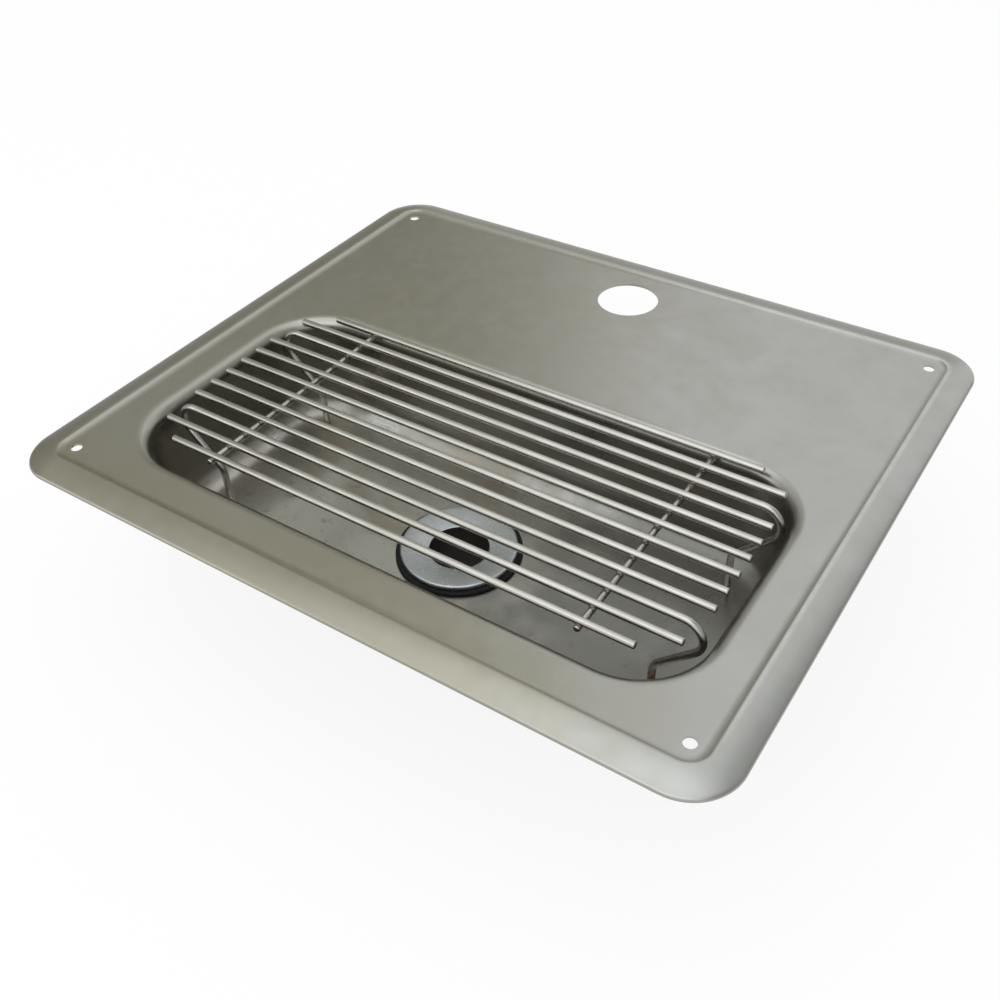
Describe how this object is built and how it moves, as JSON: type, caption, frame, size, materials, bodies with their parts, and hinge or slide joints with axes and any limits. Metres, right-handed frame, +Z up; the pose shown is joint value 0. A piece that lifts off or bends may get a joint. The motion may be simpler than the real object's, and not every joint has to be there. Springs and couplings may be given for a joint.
{
  "type": "glass filler sink",
  "caption": "Drop-in stainless glass filler sink: flat deck with a raised rim bead and faucet hole, shallow bowl, lift-out wire rack and flanged drain.",
  "frame": {"origin": "midway between the four screw holes, on the top face of the deck", "axes": "+X to the right, +Y from the bowl towards the faucet hole at the back, +Z up out of the counter"},
  "size_m": [0.419, 0.3614, 0.1145],
  "materials": {
    "pan_steel": "satin pressed stainless steel, slightly mottled",
    "rack_wire": "polished drawn stainless wire",
    "drain_steel": "turned stainless steel, satin",
    "black_rubber": "black moulded rubber",
    "fibre": "pressed fibre",
    "cast_zinc": "dull cast zinc"
  },
  "bodies": {
    "sink": {"sink_pan": "pan_steel", "drain_body": "drain_steel", "drain_top_gasket": "black_rubber", "drain_low_gasket": "black_rubber", "drain_friction_washer": "fibre", "drain_locknut": "cast_zinc"},
    "rack": {"cross_wire_left": "rack_wire", "cross_wire_right": "rack_wire", "rack_bar_01": "rack_wire", "rack_bar_02": "rack_wire", "rack_bar_03": "rack_wire", "rack_bar_04": "rack_wire", "rack_bar_05": "rack_wire", "rack_bar_06": "rack_wire", "rack_bar_07": "rack_wire", "rack_bar_08": "rack_wire", "rack_bar_09": "rack_wire", "rack_bar_10": "rack_wire", "rack_bar_11": "rack_wire", "rack_bar_12": "rack_wire"}
  },
  "joints": [
    {"name": "rack_lift", "type": "slide", "parent": "sink", "child": "rack", "axis": [0, 0, 1], "range_m": [0, 0.09]}
  ]
}
